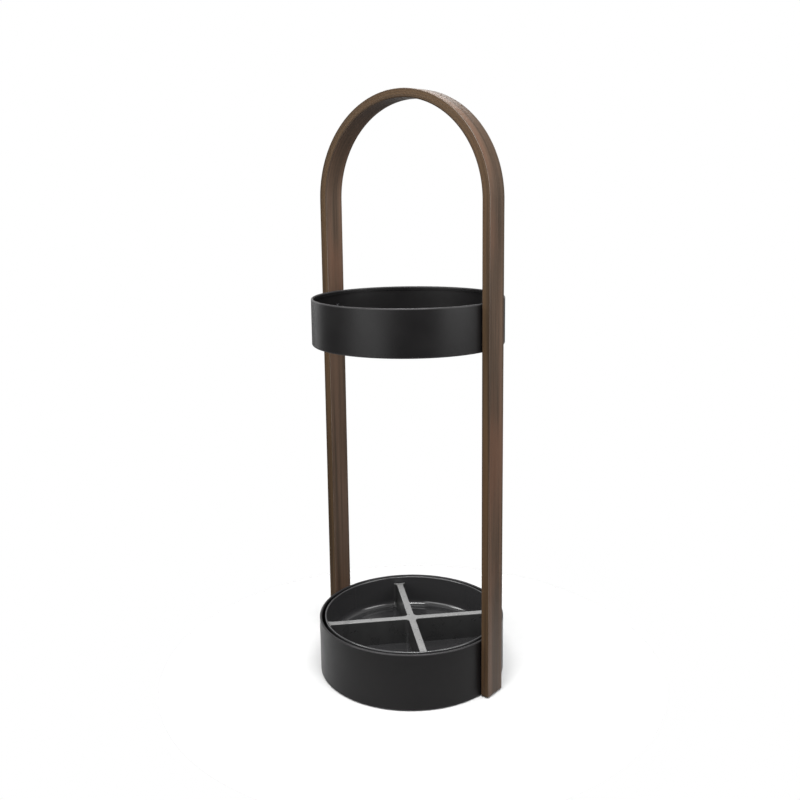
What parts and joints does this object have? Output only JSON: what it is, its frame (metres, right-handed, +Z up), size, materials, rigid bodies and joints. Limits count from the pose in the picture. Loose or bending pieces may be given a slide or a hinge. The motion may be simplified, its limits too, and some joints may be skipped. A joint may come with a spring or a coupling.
{
  "type": "umbrella stand",
  "caption": "Umbrella stand: bentwood hoop on edge carrying an open steel ring and a weighted steel cup with a lift-out drip tray and cross divider.",
  "frame": {"origin": "on the floor, midway between the legs, under the middle of the cup", "axes": "+Z up; the hoop stands in the XZ plane with its legs at -X and +X; -Y is the front"},
  "size_m": [0.2736, 0.25, 0.7693],
  "materials": {
    "walnut": "walnut-stained laminated beech strip, satin lacquer, fine lengthwise grain",
    "black_steel": "black powder coat, satin, very fine texture",
    "black_plastic": "black moulded plastic, semi-gloss",
    "grey_plastic": "grey moulded plastic, satin, scuffed on top",
    "cast_iron": "as cast, dull",
    "zinc": "zinc plated",
    "black_zinc": "black zinc plated",
    "brass": "plain turned",
    "rubber": "matt"
  },
  "bodies": {
    "stand": {"bentwood_arch": "walnut", "upper_ring": "black_steel", "base_cup": "black_steel", "ballast_plate": "cast_iron", "ring_screw_left_lower": "black_zinc", "cup_screw_left_lower": "black_zinc", "ring_screw_left_upper": "black_zinc", "cup_screw_left_upper": "black_zinc", "ring_screw_right_lower": "black_zinc", "cup_screw_right_lower": "black_zinc", "ring_screw_right_upper": "black_zinc", "cup_screw_right_upper": "black_zinc", "ring_insert_left_lower": "brass", "cup_insert_left_lower": "brass", "ring_insert_left_upper": "brass", "cup_insert_left_upper": "brass", "ring_insert_right_lower": "brass", "cup_insert_right_lower": "brass", "ring_insert_right_upper": "brass", "cup_insert_right_upper": "brass", "foot_rear_right": "rubber", "foot_rear_left": "rubber", "foot_front_left": "rubber", "foot_front_right": "rubber", "foot_screw_rear_right": "zinc", "foot_screw_rear_left": "zinc", "foot_screw_front_left": "zinc", "foot_screw_front_right": "zinc"},
    "tray": {"drip_tray": "black_plastic"},
    "divider": {"cross_divider": "grey_plastic"}
  },
  "joints": [
    {"name": "tray_lift", "type": "slide", "parent": "stand", "child": "tray", "axis": [0, 0, 1], "range_m": [0, 0.15]},
    {"name": "divider_lift", "type": "slide", "parent": "tray", "child": "divider", "axis": [0, 0, 1], "range_m": [0, 0.1]}
  ]
}
